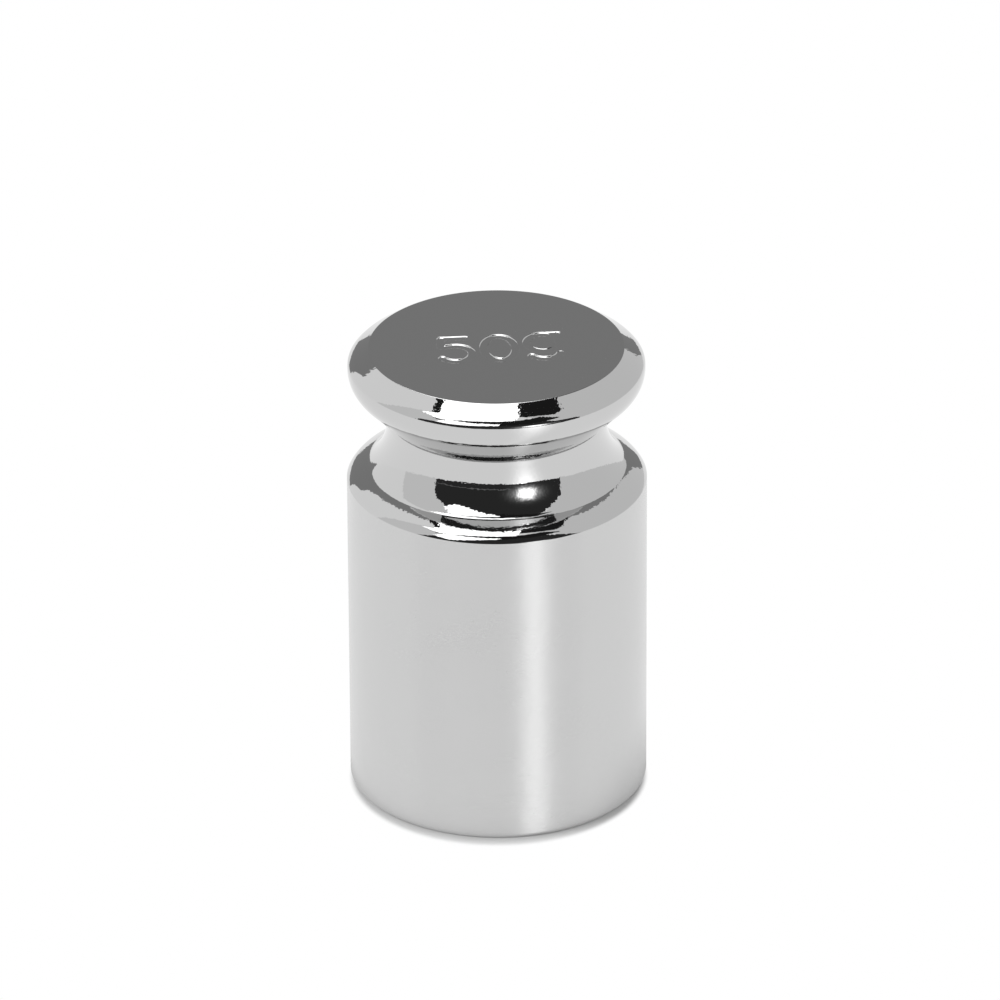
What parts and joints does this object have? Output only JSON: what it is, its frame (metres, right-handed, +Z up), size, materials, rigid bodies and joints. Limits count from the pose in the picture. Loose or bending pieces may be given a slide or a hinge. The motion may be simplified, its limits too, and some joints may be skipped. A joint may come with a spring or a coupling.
{
  "type": "calibration weight",
  "caption": "Solid turned calibration weight: plain cylinder, bevelled shoulder, concave waist and a bevelled flat-topped lifting knob, chrome plated.",
  "frame": {"origin": "centre of the flat base, on the surface the weight stands on", "axes": "+Z up along the turning axis; the stamped denomination reads from the -Y side, with +X to the reader's right"},
  "size_m": [0.0176, 0.0176, 0.0282],
  "materials": {
    "chrome_plate": "bright polished knob, waist, cove and shoulder; satin fine-turned cylinder wall"
  },
  "bodies": {
    "root": {"weight": "chrome_plate"}
  },
  "joints": []
}
